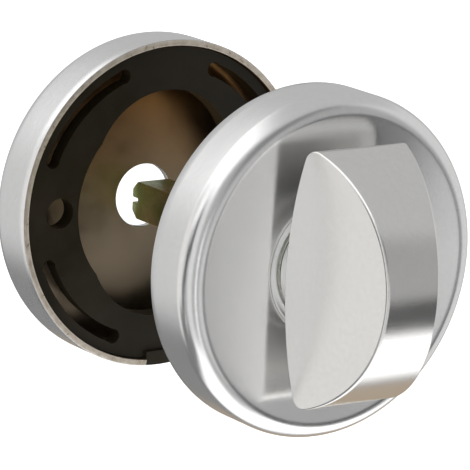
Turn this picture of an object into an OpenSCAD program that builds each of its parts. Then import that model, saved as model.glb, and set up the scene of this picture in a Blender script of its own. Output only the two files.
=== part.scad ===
// Turn-and-release set of a deadbolt lock: a round thumb-turn rosette on the room side, a round
// emergency-release rosette on the outer side, and the square spindle that works the bolt.
// The spindle axis is Y, the room is toward -Y, +Z is up. The origin is on the spindle axis, midway
// through the door, where the lock's follower sits.

/* [Door] */
// Distance between the two rosettes' rims, the door's thickness
door_t = 35; // [34:0.5:40]
// Distance between the two fixing holes of a base
fixing_pitch = 38; // [37:0.5:39]

/* [Covers] */
// Outer radius of a cover
cover_r = 26; // [25.5:0.5:28]
// Height of a cover's straight wall
wall_h = 6.6; // [6:0.1:8]
// Radius of the rolled front edge
edge_r = 2.8; // [2.2:0.1:3.2]
// Sheet thickness
sheet_t = 1; // [0.8:0.1:1.2]
// Depth of the concave dish below the rolled edge
dish_sag = 1.9; // [1.5:0.1:2.2]
// Radius of the flat seat round the knob's collar
seat_r = 10.4; // [10.3:0.1:12.5]
// Radius of the emergency-release hole
release_r = 5; // [4:0.5:6]
// Width of the pry notch in a cover's rim
notch_w = 4.8; // [4:0.2:6]
// Depth of the pry notch
notch_d = 1.6; // [1.2:0.1:2]

/* [Bases] */
// How far a base sits inside its cover's rim
base_inset = 0.8; // [0.5:0.1:1]
// Thickness of a base's plate
plate_t = 2.4; // [2:0.1:2.6]
// Radius of the central opening
opening_r = 15.7; // [15:0.1:16]
// Radius of the opening's upper and lower lobes
lobe_r = 13; // [12.5:0.1:13.2]
// Offset of the lobes from the axis
lobe_y = 5; // [4:0.1:5.2]
// Middle radius of the four arc slots
slot_r = 22.2; // [22:0.05:22.3]
// Width of the arc slots
slot_w = 2.1; // [1.6:0.1:2.2]
// Angle that each slot spans, without its round ends
slot_angle = 46; // [36:1:48]
// Radius of the fixing screw holes
screw_r = 2.4; // [2.1:0.1:2.6]

/* [Knob] */
// Height of the knob's front above the rim
knob_top = 28.3; // [27:0.1:30]
// Height of the middle of the knob's back edge above the rim
knob_back = 9.6; // [9.5:0.1:10]
// Radius of the knob's front arc
front_r = 20.1; // [19.6:0.1:20.6]
// Radius of the knob's back arc
back_r = 65; // [55:1:80]
// Radius of the knob's two corners
corner_r = 2; // [1.5:0.1:3]
// Knob thickness at its back edge
knob_t_back = 18.1; // [18.1:0.1:19]
// Knob thickness at its front
knob_t_front = 9.3; // [8:0.1:11]
// Radius of the collar under the knob
collar_r = 8.8; // [8.6:0.05:8.8]
// Radius of the spigot that turns in the bush
spigot_r = 6.45; // [6.4:0.01:6.48]

/* [Spindle] */
// Side of the square spindle
spindle_a = 6; // [5:0.5:6]
// Spindle length
spindle_l = 60; // [58:0.5:62]
// Distance of the spindle's tip from the outer cover's inner face
tip_gap = 1.4; // [1:0.1:2.5]
// Width of the screwdriver slot in the tip
driver_w = 0.8; // [0.6:0.1:1.4]
// Depth of the screwdriver slot
driver_d = 1.6; // [1:0.1:2]

/* [Hidden] */
$fn = 128;
fine = 720;
eps = 1;

// Heights are measured from a rosette's rim plane, along the local Z axis, away from the door.
cover_h = wall_h + edge_r;
crest_r = cover_r - edge_r;
inner_r = cover_r - sheet_t;
dish_r = (crest_r * crest_r + dish_sag * dish_sag) / (2 * dish_sag);
dish_floor = cover_h - dish_sag;
inner_floor = dish_floor - sheet_t;

// The knob's bearing, from the front to the back.
bush_bore = 6.5;
bush_r = 7.6;
bush_flange_r = 10.2;
bush_flange_t = 0.8;
washer_gap = 0.1;
thrust_t = 0.3;
thrust_top = dish_floor + washer_gap + thrust_t;
back_washer_t = 0.6;
back_washer_top = inner_floor - bush_flange_t - washer_gap;
spring_r = 9.2;
spring_h = 0.9;
spring_t = 0.3;
ring_t = 1;
ring_top = back_washer_top - back_washer_t - spring_h;
groove_r = 5.9;
spigot_end = 0.6;
pin_r = 0.8;
pin_h = 1.9;

// Spindle ends along the door axis.
tip_y = door_t / 2 + inner_floor - tip_gap;
socket_clear = 0.05;
tip_chamfer = 1.2;

// Centres of the knob's front and back arcs and of its rounded corner, in its side view.
front_c = knob_top - front_r;
back_c = knob_back + back_r;
arc_gap = back_c - front_c;
corner_a = front_r - corner_r;
corner_b = back_r - corner_r;
corner_u = back_c - (arc_gap * arc_gap + corner_b * corner_b - corner_a * corner_a) / (2 * arc_gap);
corner_v = sqrt(corner_b * corner_b - pow(back_c - corner_u, 2));

// Base details.
base_top = base_inset + plate_t;
base_r = inner_r - 0.15;
skirt_t = 1.2;
skirt_h = 6.2;
boss_r = 4.8;
boss_h = 5.2;
screw_head_r = 4.1;
lip_w = 1.2;
lip_h = 4.2;
rib_r = 0.5;
rib_gap = 0.5;
ribs = 12;

satin = [0.78, 0.78, 0.77];
black = [0.10, 0.09, 0.08];
yellow_passivated = [0.52, 0.50, 0.28];
nylon = [0.90, 0.89, 0.84];
steel = [0.62, 0.62, 0.62];

// Places a solid drawn on +Z on the room-side rosette.
module inner_side() translate([0, -door_t / 2, 0]) rotate([90, 0, 0]) children();

// Places a solid drawn on +Z on the outer rosette.
module outer_side() translate([0, door_t / 2, 0]) rotate([90, 0, 180]) children();

module tube(outer, bore, height) {
    difference() {
        cylinder(r = outer, h = height);
        translate([0, 0, -eps]) cylinder(r = bore, h = height + 2 * eps);
    }
}

// Half section of a solid cap: straight wall, rolled edge, concave dish and an optional flat seat.
module cap_section(inset, seat) {
    difference() {
        union() {
            translate([0, -inset]) square([cover_r - inset, wall_h + inset]);
            square([crest_r, cover_h - inset]);
            translate([crest_r, wall_h]) circle(r = edge_r - inset);
        }
        translate([0, dish_floor + dish_r]) circle(r = dish_r + inset, $fn = fine);
        if (seat > 0) translate([0, dish_floor - inset]) square([seat, cover_h]);
    }
}

module cover(hole_r, seat) {
    difference() {
        rotate_extrude() {
            difference() {
                cap_section(0, seat);
                cap_section(sheet_t, seat);
                square([hole_r, cover_h]);
            }
        }
        translate([-notch_w / 2, -cover_r - eps, -eps])
            cube([notch_w, sheet_t + 2 * eps, notch_d + eps]);
    }
}

// Outline of the base's opening: a circle with an upper and a lower lobe.
module opening_outline(grow) {
    circle(r = opening_r + grow);
    for (side = [-1, 1]) translate([0, side * lobe_y]) circle(r = lobe_r + grow);
}

// Arc slot. Its round ends are a touch wider than the slot, so that no walls meet at a tangent.
module arc_slot() {
    end_r = 0.55 * slot_w;
    rotate_extrude(angle = slot_angle, start = -slot_angle / 2)
        translate([slot_r - slot_w / 2, -eps]) square([slot_w, base_top + 2 * eps]);
    for (side = [-1, 1]) rotate(side * slot_angle / 2)
        translate([slot_r, 0, -eps]) cylinder(r = end_r, h = base_top + 2 * eps);
}

module base() {
    difference() {
        union() {
            translate([0, 0, base_inset]) cylinder(r = base_r, h = plate_t);
            translate([0, 0, base_inset]) tube(base_r, base_r - skirt_t, skirt_h - base_inset);
            translate([0, 0, base_inset]) linear_extrude(lip_h - base_inset) opening_outline(lip_w);
            for (side = [-1, 1]) translate([side * fixing_pitch / 2, 0, base_inset])
                cylinder(r = boss_r, h = boss_h - base_inset);
            for (k = [0:ribs - 1]) rotate((k + 0.5) * 360 / ribs)
                translate([inner_r - rib_r, 0, base_inset + rib_gap])
                    cylinder(r = rib_r, h = skirt_h - base_inset - 2 * rib_gap);
        }
        translate([0, 0, -eps]) linear_extrude(boss_h + 2 * eps) opening_outline(0);
        for (side = [-1, 1]) translate([side * fixing_pitch / 2, 0, 0]) {
            translate([0, 0, -eps]) cylinder(r = screw_r, h = boss_h + 2 * eps);
            translate([0, 0, boss_h - screw_head_r + screw_r])
                cylinder(r1 = screw_r, r2 = screw_head_r, h = screw_head_r - screw_r + 0.001);
        }
        for (k = [0:3]) rotate(45 + 90 * k) arc_slot();
    }
    pry_tab();
}

// Tab that fills the cover's pry notch.
module pry_tab() {
    fit = 0.1;
    intersection() {
        translate([-notch_w / 2 + fit, -cover_r, fit])
            cube([notch_w - 2 * fit, cover_r - base_r + skirt_t, notch_d - 2 * fit]);
        cylinder(r = cover_r - fit, h = cover_h);
    }
}

// Side view of the knob: front arc, back arc and two rounded corners. X is the height off the rim.
module knob_outline() {
    far = 4 * corner_r;
    difference() {
        intersection() {
            translate([front_c, 0]) circle(r = front_r, $fn = fine);
            translate([back_c, 0]) circle(r = back_r, $fn = fine);
        }
        for (side = [-1, 1]) polygon([
            [corner_u, side * corner_v],
            [corner_u, side * corner_v] + far * unit([corner_u - front_c, side * corner_v]),
            [corner_u, side * (corner_v + 2 * far)],
            [corner_u, side * corner_v] + far * unit([corner_u - back_c, side * corner_v])
        ]);
    }
    for (side = [-1, 1]) translate([corner_u, side * corner_v]) circle(r = corner_r);
}

function unit(v) = v / norm(v);

module knob_body() {
    slope = (knob_t_back - knob_t_front) / (knob_top - knob_back) / 2;
    low = knob_back - eps;
    high = knob_top + eps;
    half_low = knob_t_back / 2 + slope * eps;
    half_high = knob_t_front / 2 - slope * eps;
    intersection() {
        rotate([0, -90, 0]) linear_extrude(2 * half_low + 2, center = true) knob_outline();
        rotate([90, 0, 0]) linear_extrude(3 * front_r, center = true)
            polygon([[-half_low, low], [half_low, low], [half_high, high], [-half_high, high]]);
    }
}

module inner_cover() {
    color(satin) inner_side() cover(bush_r, seat_r);
}

module turn_knob() {
    socket = spindle_a + 2 * socket_clear;
    socket_top = spindle_l - tip_y - door_t / 2 + 0.5;
    groove_clear = 0.05;
    color(satin) inner_side() difference() {
        union() {
            knob_body();
            translate([0, 0, thrust_top]) cylinder(r = collar_r, h = knob_back - thrust_top + 0.8);
            translate([0, 0, spigot_end]) cylinder(r = spigot_r, h = knob_back - spigot_end);
        }
        translate([0, 0, ring_top - ring_t - groove_clear])
            tube(spigot_r + eps, groove_r, ring_t + 2 * groove_clear);
        translate([-socket / 2, -socket / 2, 0]) cube([socket, socket, socket_top]);
        translate([0, 0, pin_h]) rotate([0, 90, 0]) cylinder(r = pin_r, h = 4 * spigot_r, center = true);
    }
}

module thrust_washer() {
    color(yellow_passivated) inner_side() translate([0, 0, dish_floor + washer_gap])
        tube(collar_r - 0.4, spigot_r + 0.1, thrust_t);
}

module neck_bush() {
    color(nylon) inner_side() difference() {
        union() {
            translate([0, 0, inner_floor - bush_flange_t])
                cylinder(r = bush_r, h = sheet_t + bush_flange_t);
            translate([0, 0, inner_floor - bush_flange_t]) cylinder(r = bush_flange_r, h = bush_flange_t);
        }
        translate([0, 0, inner_floor - bush_flange_t - eps])
            cylinder(r = bush_bore, h = sheet_t + bush_flange_t + 2 * eps);
    }
}

module back_washer() {
    color(steel) inner_side() translate([0, 0, back_washer_top - back_washer_t])
        tube(10, spigot_r + 0.1, back_washer_t);
}

// Curved spring washer: a ring cut out of a thin cylindrical shell. Its middle line stands on the
// retaining ring and its two sides press on the back washer.
module spring_washer() {
    bend_r = (spring_r * spring_r + spring_h * spring_h - spring_t * spring_t) / 2 / (spring_h - spring_t);
    color(steel) inner_side() translate([0, 0, ring_top]) intersection() {
        tube(spring_r, spigot_r + 0.15, spring_h);
        translate([-2 * spring_r, 0, bend_r]) rotate([0, 90, 0])
            tube_shell(bend_r, bend_r - spring_t, 4 * spring_r);
    }
}

module tube_shell(outer, bore, height) {
    difference() {
        cylinder(r = outer, h = height, $fn = fine);
        translate([0, 0, -eps]) cylinder(r = bore, h = height + 2 * eps, $fn = fine);
    }
}

// External circlip with a gap at the bottom and two lugs.
module retaining_ring() {
    ring_r = 8;
    lug_r = 1.7;
    gap_a = 50;
    lug_c = ring_r - 0.4;
    color(steel) inner_side() translate([0, 0, ring_top - ring_t]) difference() {
        union() {
            rotate_extrude(angle = 360 - gap_a, start = -90 + gap_a / 2)
                translate([groove_r + 0.05, 0]) square([ring_r - groove_r - 0.05, ring_t]);
            for (side = [-1, 1]) rotate(-90 + side * gap_a / 2)
                translate([lug_c, 0, 0]) cylinder(r = lug_r, h = ring_t);
        }
        translate([0, 0, -eps]) cylinder(r = groove_r + 0.05, h = ring_t + 2 * eps);
        for (side = [-1, 1]) rotate(-90 + side * gap_a / 2)
            translate([lug_c, 0, -eps]) cylinder(r = 0.8, h = ring_t + 2 * eps);
    }
}

// Square bar along Y with two opposite chamfers at the tip.
module bar() {
    half = spindle_a / 2;
    linear_extrude(spindle_a, center = true) polygon([
        [-half, tip_y - spindle_l], [half, tip_y - spindle_l], [half, tip_y - tip_chamfer],
        [half - tip_chamfer, tip_y], [tip_chamfer - half, tip_y], [-half, tip_y - tip_chamfer]
    ]);
}

module spindle() {
    color(yellow_passivated) difference() {
        rotate([0, 90, 0]) bar();
        translate([-spindle_a, tip_y - driver_d, -driver_w / 2])
            cube([2 * spindle_a, driver_d + eps, driver_w]);
        translate([0, -door_t / 2 - pin_h, 0]) rotate([0, 90, 0])
            cylinder(r = pin_r, h = 2 * spindle_a, center = true);
    }
}

module spindle_pin() {
    color(steel) inner_side() translate([0, 0, pin_h]) rotate([0, 90, 0])
        cylinder(r = pin_r, h = 2 * spigot_r - 0.4, center = true);
}

module inner_base() {
    color(black) inner_side() base();
}

module outer_cover() {
    color(satin) outer_side() cover(release_r, 0);
}

module outer_base() {
    color(black) outer_side() base();
}

inner_cover();
turn_knob();
thrust_washer();
neck_bush();
back_washer();
spring_washer();
retaining_ring();
spindle();
spindle_pin();
inner_base();
outer_cover();
outer_base();
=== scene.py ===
"""Looks of the deadbolt's turn-and-release set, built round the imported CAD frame."""

import math

import bmesh
import bpy
from mathutils import Matrix, Vector


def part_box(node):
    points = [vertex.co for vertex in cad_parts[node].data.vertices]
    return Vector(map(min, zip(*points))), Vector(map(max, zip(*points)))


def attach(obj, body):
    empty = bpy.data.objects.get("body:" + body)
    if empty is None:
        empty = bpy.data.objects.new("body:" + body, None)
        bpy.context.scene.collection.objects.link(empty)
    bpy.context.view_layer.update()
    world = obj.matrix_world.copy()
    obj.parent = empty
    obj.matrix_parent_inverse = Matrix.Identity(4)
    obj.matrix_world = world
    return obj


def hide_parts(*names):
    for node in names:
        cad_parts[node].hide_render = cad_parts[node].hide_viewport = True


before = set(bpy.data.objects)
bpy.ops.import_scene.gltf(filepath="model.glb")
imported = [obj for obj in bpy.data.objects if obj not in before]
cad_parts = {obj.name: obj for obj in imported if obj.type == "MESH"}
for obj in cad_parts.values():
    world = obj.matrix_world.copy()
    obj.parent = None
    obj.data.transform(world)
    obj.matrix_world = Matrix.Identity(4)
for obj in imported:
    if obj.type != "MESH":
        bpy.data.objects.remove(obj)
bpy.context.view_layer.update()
scene = bpy.context.scene
MM = 0.001

# Places from the frame, in millimetres.
RIM = -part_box("inner_cover")[1].y / MM
COVER_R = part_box("inner_cover")[1].x / MM
COVER_H = (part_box("inner_cover")[1].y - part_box("inner_cover")[0].y) / MM
KNOB_TOP = -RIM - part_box("turn_knob")[0].y / MM
SPIGOT_END = -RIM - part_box("turn_knob")[1].y / MM
TIP_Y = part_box("spindle")[1].y / MM
SPINDLE_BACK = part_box("spindle")[0].y / MM
SPINDLE_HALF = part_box("spindle")[1].x / MM
COLLAR_H = -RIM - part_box("thrust_washer")[0].y / MM

# Sizes that the frame's boxes don't give, in millimetres, as in the CAD source.
WALL_H = 6.6
EDGE_R = COVER_H - WALL_H
SHEET = 1.0
DISH_SAG = 1.9
SEAT_R = 10.4
RELEASE_R = 5.0
NOTCH_W = 4.8
NOTCH_D = 1.6
FRONT_R = 20.1
BACK_R = 65.0
CORNER_R = 2.0
KNOB_BACK = 9.6
KNOB_T_BACK = 18.1
KNOB_T_FRONT = 9.3
COLLAR_R = 8.8
SPIGOT_R = 6.45
SOCKET = 3.05
GROOVE_R = 5.9
BUSH_R = 7.6


# ---------------------------------------------------------------- materials
def new_material(name, colour, metallic, roughness):
    """A material with its node tree and its Principled shader."""
    mat = bpy.data.materials.new(name)
    mat.use_nodes = True
    shader = mat.node_tree.nodes["Principled BSDF"]
    shader.inputs["Base Color"].default_value = (*colour, 1)
    shader.inputs["Metallic"].default_value = metallic
    shader.inputs["Roughness"].default_value = roughness
    return mat, mat.node_tree, shader


def noise(tree, scale, detail=2.0, stretch=None):
    """Noise in the object's own coordinates, optionally stretched along its axes."""
    coords = tree.nodes.new("ShaderNodeTexCoord")
    tex = tree.nodes.new("ShaderNodeTexNoise")
    tex.inputs["Scale"].default_value = scale
    tex.inputs["Detail"].default_value = detail
    source = coords.outputs["Object"]
    if stretch:
        mapping = tree.nodes.new("ShaderNodeMapping")
        mapping.inputs["Scale"].default_value = stretch
        tree.links.new(source, mapping.inputs["Vector"])
        source = mapping.outputs["Vector"]
    tree.links.new(source, tex.inputs["Vector"])
    return tex.outputs["Fac"]


def spread(tree, value, low, high, start=0.3, end=0.7):
    """Maps start..end of a value to low..high."""
    node = tree.nodes.new("ShaderNodeMapRange")
    node.inputs["From Min"].default_value = start
    node.inputs["From Max"].default_value = end
    node.inputs["To Min"].default_value = low
    node.inputs["To Max"].default_value = high
    tree.links.new(value, node.inputs["Value"])
    return node.outputs["Result"]


def ramp(tree, value, *stops):
    """Colour ramp from (place, colour) stops."""
    node = tree.nodes.new("ShaderNodeValToRGB")
    elements = node.color_ramp.elements
    while len(elements) < len(stops):
        elements.new(0.5)
    for element, (place, colour) in zip(elements, stops):
        element.position = place
        element.color = (*colour, 1)
    tree.links.new(value, node.inputs["Fac"])
    return node.outputs["Color"]


def bump(tree, shader, value, depth):
    """Bump of a depth in millimetres."""
    node = tree.nodes.new("ShaderNodeBump")
    node.inputs["Distance"].default_value = depth * MM
    node.inputs["Strength"].default_value = 1.0
    tree.links.new(value, node.inputs["Height"])
    tree.links.new(node.outputs["Normal"], shader.inputs["Normal"])


def satin_metal(name, colour, rough, grain, metallic=0.97):
    """Plated metal with a bead-blasted satin finish."""
    mat, tree, shader = new_material(name, colour, metallic, rough)
    cloud = noise(tree, 60)
    tree.links.new(spread(tree, cloud, rough - 0.03, rough + 0.03), shader.inputs["Roughness"])
    tint = ramp(tree, noise(tree, 1500, 1), (0.3, [c * 0.97 for c in colour]), (0.7, colour))
    tree.links.new(tint, shader.inputs["Base Color"])
    bump(tree, shader, noise(tree, 5200, 3), grain)
    return mat


satin = satin_metal("satin_chrome", (0.97, 0.97, 0.965), 0.21, 0.007)
knob_metal = satin_metal("knob_chrome", (0.94, 0.93, 0.915), 0.20, 0.010)
collar_metal = satin_metal("collar_chrome", (0.96, 0.96, 0.95), 0.42, 0.006, 0.55)


def inside_metal():
    """Thinly plated back of the sheet, where the brass shows through, its brown darkened toward the top by
    painted shade.
    """
    mat, tree, shader = new_material("cover_inside", (0.50, 0.37, 0.23), 1.0, 0.36)
    place = tree.nodes.new("ShaderNodeSeparateXYZ")
    tree.links.new(tree.nodes.new("ShaderNodeTexCoord").outputs["Object"], place.inputs["Vector"])
    # Random stains from the noise, mixed with painted shade: the term that rises with height darkens the
    # brown toward the top.
    stain_and_top_shade = tree.nodes.new("ShaderNodeMath")
    stain_and_top_shade.operation = "MULTIPLY_ADD"
    stain_and_top_shade.inputs[1].default_value = 0.35
    tree.links.new(noise(tree, 45, 4), stain_and_top_shade.inputs[0])
    tree.links.new(spread(tree, place.outputs["Z"], 0, 0.65, -6 * MM, 16 * MM), stain_and_top_shade.inputs[2])
    # The ramp's dark brown end, reached toward the top, is painted shade.
    stain = ramp(
        tree,
        stain_and_top_shade.outputs["Value"],
        (0.10, (0.52, 0.42, 0.30)),
        (0.35, (0.50, 0.39, 0.26)),
        (0.85, (0.42, 0.22, 0.08)),
    )
    tree.links.new(stain, shader.inputs["Base Color"])
    tree.links.new(spread(tree, noise(tree, 300, 3), 0.30, 0.42), shader.inputs["Roughness"])
    bump(tree, shader, noise(tree, 2600, 3), 0.006)
    return mat


def cut_edge_metal():
    """Raw sheared edge of the sheet."""
    mat, tree, shader = new_material("cut_edge", (0.76, 0.68, 0.57), 0.7, 0.45)
    scratch = noise(tree, 900, 4, (1, 0.12, 1))
    tint = ramp(tree, scratch, (0.35, (0.70, 0.61, 0.50)), (0.65, (0.84, 0.76, 0.66)))
    tree.links.new(tint, shader.inputs["Base Color"])
    tree.links.new(spread(tree, scratch, 0.25, 0.45), shader.inputs["Roughness"])
    bump(tree, shader, scratch, 0.02)
    return mat


def passivated(name, pale):
    """Yellow-passivated zinc: olive with rainbow stains; pale lifts the colour toward light grey and lowers
    the metal, a lighter copy whose colour is painted light.
    """
    mat, tree, shader = new_material(name, (0.46, 0.44, 0.22), 1.0 - 0.8 * pale, 0.3)
    stops = (
        (0.30, (0.25, 0.33, 0.09)),
        (0.46, (0.38, 0.41, 0.17)),
        (0.60, (0.55, 0.49, 0.27)),
        (0.78, (0.53, 0.40, 0.29)),
    )
    # pale mixes the stops toward light grey: painted light, a lighter copy of the same coat.
    paled_stops = [(at, [c + (0.8 - c) * pale for c in tone]) for at, tone in stops]
    stain = ramp(tree, noise(tree, 110, 3), *paled_stops)
    tree.links.new(stain, shader.inputs["Base Color"])
    tree.links.new(spread(tree, noise(tree, 700, 3), 0.24, 0.40), shader.inputs["Roughness"])
    bump(tree, shader, noise(tree, 1800, 3, (1, 0.2, 1)), 0.008)
    return mat


def steel(name, colour, rough):
    """Plain zinc-plated or spring steel."""
    mat, tree, shader = new_material(name, colour, 1.0, rough)
    stain = ramp(tree, noise(tree, 260, 4), (0.3, [c * 0.82 for c in colour]), (0.7, colour))
    tree.links.new(stain, shader.inputs["Base Color"])
    tree.links.new(spread(tree, noise(tree, 900, 2), rough - 0.06, rough + 0.08), shader.inputs["Roughness"])
    bump(tree, shader, noise(tree, 3000, 2), 0.004)
    return mat


def moulded(name, colour, lighter, rough, grain, specular=0.5):
    """Moulded plastic with a faint texture."""
    mat, tree, shader = new_material(name, colour, 0.0, rough)
    tint = ramp(tree, noise(tree, 90, 3), (0.35, colour), (0.75, lighter))
    tree.links.new(tint, shader.inputs["Base Color"])
    tree.links.new(spread(tree, noise(tree, 500, 3), rough - 0.06, rough + 0.06), shader.inputs["Roughness"])
    bump(tree, shader, noise(tree, 2400, 2), grain)
    shader.inputs["Specular IOR Level"].default_value = specular
    return mat


inside = inside_metal()
cut_edge = cut_edge_metal()
yellow = passivated("yellow_passivated", 0)
# The thrust washer's paler, less metallic copy is painted light that lifts the shade in the gap round the
# collar's foot.
painted_light_yellow = passivated("painted_light_yellow", 0.6)
zinc = steel("zinc_steel", (0.56, 0.57, 0.59), 0.34)
spring = steel("spring_steel", (0.36, 0.36, 0.37), 0.30)
black = moulded("black_plastic", (0.013, 0.010, 0.005), (0.022, 0.017, 0.010), 0.36, 0.004, 0.3)
nylon = moulded("natural_nylon", (0.80, 0.78, 0.70), (0.86, 0.84, 0.77), 0.45, 0.004)


# ---------------------------------------------------------------- mesh tools
def side_y(side, height):
    """Y of a height off the rim plane: side -1 is the room side, +1 the outer side."""
    return side * (RIM + height) * MM


def mesh_object(name, bm, mats, sharp=35):
    """Turns a bmesh into a smooth-shaded object whose edges over sharp degrees stay sharp."""
    bmesh.ops.recalc_face_normals(bm, faces=bm.faces)
    mesh = bpy.data.meshes.new(name)
    bm.to_mesh(mesh)
    bm.free()
    for mat in mats:
        mesh.materials.append(mat)
    for face in mesh.polygons:
        face.use_smooth = True
    mesh.set_sharp_from_angle(angle=math.radians(sharp))
    obj = bpy.data.objects.new(name, mesh)
    scene.collection.objects.link(obj)
    return obj


def arc(cx, cy, r, start, end, steps):
    """Points on an arc, angles in degrees."""
    turn = [math.radians(start + (end - start) * i / steps) for i in range(steps + 1)]
    return [(cx + r * math.cos(t), cy + r * math.sin(t)) for t in turn]


def revolve(bm, profile, side, zones, count=240, notch=None):
    """Sweeps a closed (radius, height) profile round the Y axis. A radius may be a function of the angle.
    zones holds the material of the band after each point. notch = (half angle, left out, outer, inner,
    material) cuts a gap at the bottom: the bands left out are open there, and the gap's top and ends are
    closed between the outer and the inner point."""
    inner = 8
    if notch:
        half, left_out, outer_point, inner_point, notch_zone = notch
        angles = [-half + 2 * half * i / inner for i in range(inner)]
        angles += [half + (2 * math.pi - 2 * half) * i / (count - inner) for i in range(count - inner)]
    else:
        angles = [2 * math.pi * i / count for i in range(count)]
    rings = []
    for radius, height in profile:
        ring = []
        for a in angles:
            r = radius(a) if callable(radius) else radius
            ring.append(bm.verts.new((r * math.sin(a) * MM, side_y(side, height), -r * math.cos(a) * MM)))
        rings.append(ring)
    size = len(profile)
    for k in range(size):
        a, b = rings[k], rings[(k + 1) % size]
        gap = notch and k in left_out
        for i in range(count):
            if gap and i < inner:
                continue
            j = (i + 1) % count
            face = bm.faces.new((a[i], b[i], b[j], a[j]))
            face.material_index = zones[k]
    if notch:
        top_out, top_in = rings[outer_point], rings[inner_point]
        for i in range(inner):
            face = bm.faces.new((top_out[i], top_out[i + 1], top_in[i + 1], top_in[i]))
            face.material_index = notch_zone
        for i in (0, inner):
            loop, k = [rings[outer_point][i]], outer_point
            while k != inner_point:
                k = (k - 1) % size
                loop.append(rings[k][i])
            bm.faces.new(loop).material_index = notch_zone
        for k in left_out:
            ring = rings[k]
            for i in range(1, inner):
                if not ring[i].link_faces:
                    bm.verts.remove(ring[i])


def cover(name, side, hole_r, seat):
    """Pressed sheet cover: wall, rolled edge, concave dish, seat, hole and pry notch."""
    crest_r = COVER_R - EDGE_R
    inner_r = COVER_R - SHEET
    floor = COVER_H - DISH_SAG
    dish_r = (crest_r**2 + (floor - WALL_H) ** 2 - EDGE_R**2) / (2 * DISH_SAG)
    lean = math.asin(crest_r / (dish_r + EDGE_R))
    dish_end = crest_r - EDGE_R * math.sin(lean)

    def dish(r, inset):
        """Height of the dish, or of the seat, at a radius. inset is the depth below the front skin."""
        if seat and r < SEAT_R:
            return floor - inset
        return floor + dish_r - math.sqrt((dish_r + inset) ** 2 - r * r)

    def dish_points(start, end, inset, steps):
        radii = [start + (end - start) * i / steps for i in range(steps + 1)]
        return [(r, dish(r, inset)) for r in radii]

    def step(inset):
        """The step down to the seat, filleted."""
        high, low = dish(SEAT_R + 0.05, inset), floor - inset
        mid = (high + low) / 2
        return [
            (SEAT_R + 0.10, high - 0.02),
            (SEAT_R + 0.02, mid + 0.09),
            (SEAT_R - 0.04, mid),
            (SEAT_R - 0.12, mid - 0.10),
            (SEAT_R - 0.26, low + 0.01),
        ]

    soft, nick = 0.12, 0.035
    profile = [
        (inner_r + soft, 0),
        (COVER_R - soft, 0),
        (COVER_R - nick, nick),
        (COVER_R, soft),
        (COVER_R, NOTCH_D),
    ]
    notch_out = len(profile) - 1
    profile += [(COVER_R, WALL_H * 0.6), (COVER_R, WALL_H)]
    profile += arc(crest_r, WALL_H, EDGE_R, 0, 90 + math.degrees(lean), 28)[1:-1]
    if seat:
        profile += dish_points(dish_end, SEAT_R + 0.3, 0, 30) + step(0)
        profile += [(SEAT_R - 0.6, floor), (hole_r + 0.1, floor)]
    else:
        profile += dish_points(dish_end, hole_r + 0.12, 0, 46)
    profile += [(hole_r + 0.03, dish(hole_r, 0) - 0.03), (hole_r, dish(hole_r, 0) - 0.1)]
    profile += [(hole_r, dish(hole_r, SHEET) + 0.1), (hole_r + 0.1, dish(hole_r, SHEET))]
    back_start = len(profile) - 1
    if seat:
        profile += [(SEAT_R - 0.6, floor - SHEET)] + step(SHEET)[::-1]
        profile += dish_points(SEAT_R + 0.3, dish_end, SHEET, 30)
    else:
        profile += dish_points(hole_r + 0.6, dish_end, SHEET, 46)
    profile += arc(crest_r, WALL_H, EDGE_R - SHEET, 90 + math.degrees(lean), 0, 14)[1:]
    profile += [(inner_r, WALL_H * 0.6), (inner_r, NOTCH_D), (inner_r, soft), (inner_r + nick, nick)]
    size = len(profile)
    front, back, edge = range(3)
    zones = [front] * size
    zones[0] = zones[size - 1] = edge
    for k in range(back_start, size - 1):
        zones[k] = back
    notch_in = size - 3
    left_out = [size - 3, size - 2, size - 1, 0, 1, 2, 3]
    half_notch = math.asin(NOTCH_W / 2 / COVER_R)
    bm = bmesh.new()
    revolve(bm, profile, side, zones, notch=(half_notch, left_out, notch_out, notch_in, edge))
    return mesh_object(name, bm, [satin, inside, cut_edge], 40)


room_cover = cover("room_cover", -1, BUSH_R, True)
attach(room_cover, "root")
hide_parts("inner_cover")

release_cover = cover("release_cover", 1, RELEASE_R, False)
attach(release_cover, "root")
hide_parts("outer_cover")


# ---------------------------------------------------------------- thumb turn
def knob_outline():
    """(height, z) points of the knob's side view, counter-clockwise from the upper corner."""
    front_c = KNOB_TOP - FRONT_R
    back_c = KNOB_BACK + BACK_R
    gap = back_c - front_c
    a, b = FRONT_R - CORNER_R, BACK_R - CORNER_R
    ku = back_c - (gap * gap + b * b - a * a) / (2 * gap)
    kv = math.sqrt(b * b - (back_c - ku) ** 2)
    front_angle = math.degrees(math.atan2(kv, ku - front_c))
    back_angle = math.degrees(math.atan2(kv, ku - back_c))
    points = arc(front_c, 0, FRONT_R, -front_angle, front_angle, 96)
    points += arc(ku, kv, CORNER_R, front_angle, back_angle, 12)[1:]
    points += arc(back_c, 0, BACK_R, back_angle, 360 - back_angle, 30)[1:]
    points += arc(ku, -kv, CORNER_R, 360 - back_angle, 360 - front_angle, 12)[1:-1]
    return points


def half_thickness(height):
    """Half the knob's thickness, which tapers toward the front."""
    slope = (KNOB_T_BACK - KNOB_T_FRONT) / (KNOB_TOP - KNOB_BACK) / 2
    return KNOB_T_BACK / 2 - slope * (height - KNOB_BACK)


bm = bmesh.new()
outline = knob_outline()
sides = []
for sign in (-1, 1):
    sides.append(
        [bm.verts.new((sign * half_thickness(h) * MM, side_y(-1, h), z * MM)) for h, z in outline]
    )
bm.faces.new(sides[0])
bm.faces.new(sides[1][::-1])
for i in range(len(outline)):
    j = (i + 1) % len(outline)
    bm.faces.new((sides[0][i], sides[1][i], sides[1][j], sides[0][j]))
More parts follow.
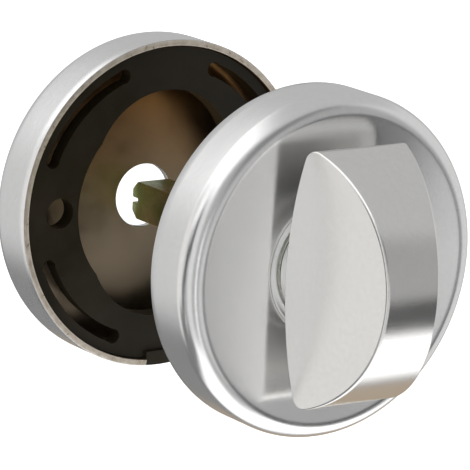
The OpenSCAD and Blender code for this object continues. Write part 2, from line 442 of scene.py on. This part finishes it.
# The knob's long edges are rounded more and more toward the front.
LEAST_ROUND, ROUND_RISE = 0.36, 9
softness = bm.edges.layers.float.new("bevel_weight_edge")
for i, (h, _) in enumerate(outline):
    j = (i + 1) % len(outline)
    weight = LEAST_ROUND + (1 - LEAST_ROUND) * min(max((h - CORNER_R - KNOB_BACK) / ROUND_RISE, 0), 1)
    for side in sides:
        bm.edges.get((side[i], side[j]))[softness] = weight
knob = mesh_object("thumb_turn", bm, [knob_metal], 180)
rounding = knob.modifiers.new("rounding", "BEVEL")
rounding.width = 2.0 * MM
rounding.segments = 6
rounding.limit_method = "WEIGHT"
knob.modifiers.new("normals", "WEIGHTED_NORMAL")
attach(knob, "turn")
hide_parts("turn_knob")


def square(half):
    """Radius of a square bore at an angle."""
    return lambda a: half / max(abs(math.cos(a)), abs(math.sin(a)))


# The collar's neck reaches into the knob's body and closes the spindle's square socket.
NECK_TOP = -RIM - SPINDLE_BACK + 1.5
NECK_R = 4.9
NECK_CAP = 1
RING_PLAY = 0.05
ring_high = -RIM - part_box("retaining_ring")[0].y / MM
ring_low = -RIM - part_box("retaining_ring")[1].y / MM
bm = bmesh.new()
profile = [
    (square(SOCKET), SPIGOT_END + 0.3),
    (square(SOCKET + 0.25), SPIGOT_END),
    (SPIGOT_R - 0.35, SPIGOT_END),
    (SPIGOT_R, SPIGOT_END + 0.35),
    (SPIGOT_R, ring_low - RING_PLAY),
    (GROOVE_R, ring_low - RING_PLAY),
    (GROOVE_R, ring_high + RING_PLAY),
    (SPIGOT_R, ring_high + RING_PLAY),
    (SPIGOT_R, COLLAR_H),
    (COLLAR_R - 0.25, COLLAR_H),
    (COLLAR_R - 0.07, COLLAR_H + 0.07),
    (COLLAR_R, COLLAR_H + 0.25),
    (COLLAR_R, KNOB_BACK + 0.8),
    (NECK_R, KNOB_BACK + 0.8),
    (NECK_R, NECK_TOP),
    (0.4, NECK_TOP),
    (0.4, NECK_TOP - NECK_CAP),
    (square(SOCKET), NECK_TOP - NECK_CAP),
]
revolve(bm, profile, -1, [0] * len(profile), count=192)
neck = mesh_object("turn_collar", bm, [collar_metal], 40)
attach(neck, "turn")
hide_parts("turn_knob")

# ---------------------------------------------------------------- spindle
CHAMFER = 1.2
DRIVER_W = 0.8
DRIVER_D = 1.6


def bar_section(half_x, half_z, corner, y):
    """Ring of a rectangular bar's cross-section with rounded corners."""
    ring = []
    for start, across, up in ((0, 1, 1), (90, -1, 1), (180, -1, -1), (270, 1, -1)):
        for x, z in arc(across * (half_x - corner), up * (half_z - corner), corner, start, start + 90, 4):
            ring.append((x, y, z))
    return ring


def loft(bm, rings):
    """Skins a stack of equal rings of points in millimetres and closes both ends."""
    made = [[bm.verts.new(Vector(p) * MM) for p in ring] for ring in rings]
    for a, b in zip(made[:-1], made[1:]):
        for i in range(len(a)):
            j = (i + 1) % len(a)
            bm.faces.new((a[i], a[j], b[j], b[i]))
    bm.faces.new(made[0][::-1])
    bm.faces.new(made[-1])


def cut(obj, *cutters):
    """Subtracts the cutters from the object for good."""
    for cutter in cutters:
        step = obj.modifiers.new("cut", "BOOLEAN")
        step.operation = "DIFFERENCE"
        step.solver = "EXACT"
        step.object = cutter
    shape = bpy.data.meshes.new_from_object(obj.evaluated_get(bpy.context.evaluated_depsgraph_get()))
    obj.modifiers.clear()
    obj.data = shape
    for cutter in cutters:
        bpy.data.objects.remove(cutter)


bm = bmesh.new()
tip_half = SPINDLE_HALF - CHAMFER
loft(
    bm,
    [
        bar_section(SPINDLE_HALF - 0.4, SPINDLE_HALF - 0.4, 0.2, SPINDLE_BACK),
        bar_section(SPINDLE_HALF, SPINDLE_HALF, 0.25, SPINDLE_BACK + 0.4),
        bar_section(SPINDLE_HALF, SPINDLE_HALF, 0.25, TIP_Y - CHAMFER - 0.15),
        bar_section(SPINDLE_HALF, SPINDLE_HALF - 0.08, 0.25, TIP_Y - CHAMFER + 0.05),
        bar_section(SPINDLE_HALF, tip_half + 0.16, 0.25, TIP_Y - 0.20),
        bar_section(SPINDLE_HALF - 0.04, tip_half + 0.02, 0.23, TIP_Y - 0.06),
        bar_section(SPINDLE_HALF - 0.15, tip_half - 0.14, 0.15, TIP_Y),
    ],
)
spindle = mesh_object("square_spindle", bm, [yellow], 30)
bm = bmesh.new()
half = DRIVER_W / 2
# One side of the slot's outline as (y, z), from beyond the tip to the slot's floor, with a flared mouth.
wall = [
    (TIP_Y + 0.5, half + 0.25),
    (TIP_Y - 0.05, half + 0.2),
    (TIP_Y - 0.25, half),
    (TIP_Y - DRIVER_D + 0.15, half),
    (TIP_Y - DRIVER_D, half - 0.15),
]
slot_outline = wall + [(y, -z) for y, z in wall[::-1]]
slot_outline = slot_outline[-1:] + slot_outline[:-1]
loft(bm, [[(x, y, z) for y, z in slot_outline] for x in (-SPINDLE_HALF - 1, SPINDLE_HALF + 1)])
slot = mesh_object("driver_slot", bm, [yellow])
pin_r = (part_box("spindle_pin")[1].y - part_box("spindle_pin")[0].y) / 2 / MM
pin_y = (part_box("spindle_pin")[1].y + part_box("spindle_pin")[0].y) / 2 / MM


def cross_hole(name, mat):
    """Cutter for the cross pin's hole."""
    bm = bmesh.new()
    loft(bm, [[(x, y, z) for y, z in arc(pin_y, 0, pin_r, 0, 345, 23)] for x in (-10, 10)])
    return mesh_object(name, bm, [mat])


cut(spindle, slot, cross_hole("pin_hole", yellow))
cut(neck, cross_hole("neck_hole", collar_metal))
for piece in (spindle, neck):
    for face in piece.data.polygons:
        face.use_smooth = True
    piece.data.set_sharp_from_angle(angle=math.radians(30))
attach(spindle, "turn")
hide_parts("spindle")

# ---------------------------------------------------------------- carried-over nodes
finishes = {
    "inner_base": black,
    "outer_base": black,
    "neck_bush": nylon,
    # The thrust washer gets the pale copy, whose lighter colour is painted light.
    "thrust_washer": painted_light_yellow,
    "back_washer": zinc,
    "spring_washer": spring,
    "retaining_ring": spring,
    "spindle_pin": zinc,
}
for node, mat in finishes.items():
    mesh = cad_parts[node].data
    mesh.materials.clear()
    mesh.materials.append(mat)

# ---------------------------------------------------------------- stage
FLOOR_Z = -0.075


def glowing_white(name, strength):
    mat, _, shader = new_material(name, (0.9, 0.9, 0.9), 0.0, 0.9)
    shader.inputs["Emission Color"].default_value = (1, 1, 1, 1)
    shader.inputs["Emission Strength"].default_value = strength
    return mat


bm = bmesh.new()
bmesh.ops.create_grid(bm, x_segments=1, y_segments=1, size=6)
floor = mesh_object("floor", bm, [])
floor.location.z = FLOOR_Z
floor.data.materials.append(glowing_white("pale_floor", 0.7))
floor.visible_glossy = False
floor.visible_shadow = False

bm = bmesh.new()
# Near enough for a camera with a short far clip, and hidden from the light and from reflections.
bmesh.ops.create_uvsphere(bm, u_segments=64, v_segments=32, radius=1.5)
backdrop = mesh_object("backdrop", bm, [])
backdrop.data.materials.append(glowing_white("white_backdrop", 1.0))
backdrop.visible_diffuse = False
backdrop.visible_glossy = False
backdrop.visible_transmission = False
backdrop.visible_shadow = False

world = bpy.data.worlds.new("studio")
scene.world = world
world.use_nodes = True
sky = world.node_tree
way = sky.nodes.new("ShaderNodeTexCoord").outputs["Generated"]
split = sky.nodes.new("ShaderNodeSeparateXYZ")
sky.links.new(way, split.inputs["Vector"])


def towards(turn, rise):
    """Unit vector at a turn from -X toward -Y and a rise, in degrees."""
    t, e = math.radians(turn), math.radians(rise)
    return Vector((-math.cos(t) * math.cos(e), -math.sin(t) * math.cos(e), math.sin(e)))


def dot(vector):
    """Cosine between the view of the world and a direction."""
    node = sky.nodes.new("ShaderNodeVectorMath")
    node.operation = "DOT_PRODUCT"
    node.inputs[1].default_value = vector
    sky.links.new(way, node.inputs[0])
    return node.outputs["Value"]


def maths(operation, first, second=None):
    node = sky.nodes.new("ShaderNodeMath")
    node.operation = operation
    for socket, value in zip(node.inputs, (first, second)):
        if isinstance(value, float):
            socket.default_value = value
        elif value is not None:
            sky.links.new(value, socket)
    return node.outputs["Value"]


def fade(value, half, soft):
    """1 within half degrees of the middle, smoothly 0 beyond half + soft."""
    node = sky.nodes.new("ShaderNodeMapRange")
    node.interpolation_type = "SMOOTHSTEP"
    node.inputs["From Min"].default_value = math.sin(math.radians(max(half - soft / 2, 0)))
    node.inputs["From Max"].default_value = math.sin(math.radians(half + soft / 2))
    node.inputs["To Min"].default_value = 1
    node.inputs["To Max"].default_value = 0
    sky.links.new(maths("ABSOLUTE", value), node.inputs["Value"])
    return node.outputs["Result"]


def panel(under, turn, rise, width, height, soft, level, tint=(1, 1, 1)):
    """Paints a soft rectangular panel over the studio's backdrop. All angles in degrees."""
    middle = towards(turn, rise)
    across = middle.cross(Vector((0, 0, 1))).normalized()
    sideways = fade(dot(across), width / 2, soft)
    upright = fade(dot(across.cross(middle)), height / 2, soft)
    mask = maths("MULTIPLY", sideways, upright)
    mask = maths("MULTIPLY", mask, maths("GREATER_THAN", dot(middle), 0.0))
    mix = sky.nodes.new("ShaderNodeMix")
    mix.data_type = "RGBA"
    mix.inputs[7].default_value = (*[level * c for c in tint], 1)
    sky.links.new(mask, mix.inputs[0])
    sky.links.new(under, mix.inputs[6])
    return mix.outputs[2]


height = sky.nodes.new("ShaderNodeMapRange")
height.inputs["From Min"].default_value = -1
sky.links.new(split.outputs["Z"], height.inputs["Value"])
light = ramp(
    sky,
    height.outputs["Result"],
    (0.0, (1.15, 1.15, 1.15)),
    (0.08, (1.0, 1.0, 1.0)),
    (0.16, (0.50, 0.50, 0.50)),
    (0.24, (0.32, 0.32, 0.32)),
    (0.45, (0.46, 0.46, 0.46)),
    (1.0, (0.47, 0.47, 0.47)),
)
# Each panel: turn, rise, width, height, softness, level and tint. A level of 0 is a black flag.
light = panel(light, -46, 4, 60, 60, 14, 0.53)
light = panel(light, -28, -8, 40, 60, 12, 0.74, (1, 0.985, 0.965))
light = panel(light, -5, 60, 100, 46, 24, 1.2)
light = panel(light, -2, 30, 26, 24, 12, 1.05)
light = panel(light, 170, -4, 60, 64, 14, 0.62)
light = panel(light, 80, 5, 44, 60, 12, 0.36)
light = panel(light, 108, 20, 40, 24, 10, 0.19)
light = panel(light, 107, -17, 22, 20, 7, 0.60)
light = panel(light, 127, 2, 20, 34, 10, 0.33)
light = panel(light, 131, -26, 24, 22, 8, 0.03)
light = panel(light, 150, -52, 50, 28, 8, 1.4)
light = panel(light, -112, -45, 64, 48, 12, 0.20)
light = panel(light, -135, -38, 34, 34, 12, 0.38, (1, 0.80, 0.58))
light = panel(light, 38, -4, 27, 64, 7, 0.68)
light = panel(light, 76, -14, 9, 34, 4, 1.0)
light = panel(light, 45, -58, 64, 34, 14, 1.2)
light = panel(light, -25, -53, 76, 22, 10, 0.15)
light = panel(light, -16, -35, 24, 18, 10, 0.12)
light = panel(light, -1, -20, 12, 20, 7, 0.06)
light = panel(light, 8, -4, 12, 22, 4, 0.0)
light = panel(light, 18, 13, 13, 26, 4, 0.0)
sky.links.new(light, sky.nodes["Background"].inputs["Color"])

# ---------------------------------------------------------------- camera
TURN, RISE, ROLL = math.radians(-35.41), math.radians(13.59), math.radians(2.98)
back = Vector((math.sin(TURN) * math.cos(RISE), -math.cos(TURN) * math.cos(RISE), math.sin(RISE)))
level_right = (-back).cross(Vector((0, 0, 1))).normalized()
level_up = back.cross(level_right)
right = math.cos(ROLL) * level_right + math.sin(ROLL) * level_up
up = math.cos(ROLL) * level_up - math.sin(ROLL) * level_right
placed = Matrix((right, up, back)).transposed().to_4x4()
DISTANCE, SHIFT_RIGHT, SHIFT_DOWN = 545.62, 0.723, 0.948
placed.translation = (right * SHIFT_RIGHT - up * SHIFT_DOWN + back * DISTANCE) * MM
lens = bpy.data.cameras.new("camera")
lens.lens = 275.6
lens.sensor_width = 36
lens.clip_start = 0.01
camera = bpy.data.objects.new("camera", lens)
camera.matrix_world = placed
scene.collection.objects.link(camera)
scene.camera = camera
scene.view_settings.view_transform = "Standard"
